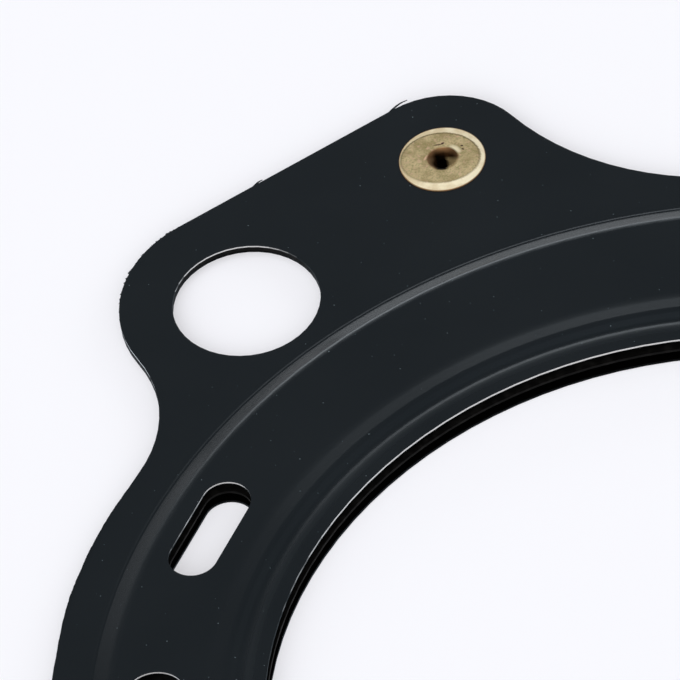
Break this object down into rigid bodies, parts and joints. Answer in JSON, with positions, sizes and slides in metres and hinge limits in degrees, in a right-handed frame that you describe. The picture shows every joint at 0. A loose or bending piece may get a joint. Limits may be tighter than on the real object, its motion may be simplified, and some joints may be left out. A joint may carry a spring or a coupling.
{
  "type": "cylinder head gasket",
  "caption": "Multi-layer steel cylinder head gasket: two black coated sheets embossed with a bore bead and a step bead on a flat core, held by small brass rivets.",
  "frame": {"origin": "on the bore axis, at the middle of the core sheet", "axes": "+Z along the bore axis, out of the upper sheet; +Y along the longer side of the stud pattern"},
  "size_m": [0.0896, 0.1068, 0.0024],
  "materials": {
    "coated_sheet": "thin satin black rubber coating on spring steel",
    "core": "plain cold-rolled stainless steel",
    "rivet": "matt yellow brass"
  },
  "bodies": {
    "root": {"upper_sheet": "coated_sheet", "core_sheet": "core", "lower_sheet": "coated_sheet", "rivet_1": "rivet", "rivet_2": "rivet"}
  },
  "joints": []
}
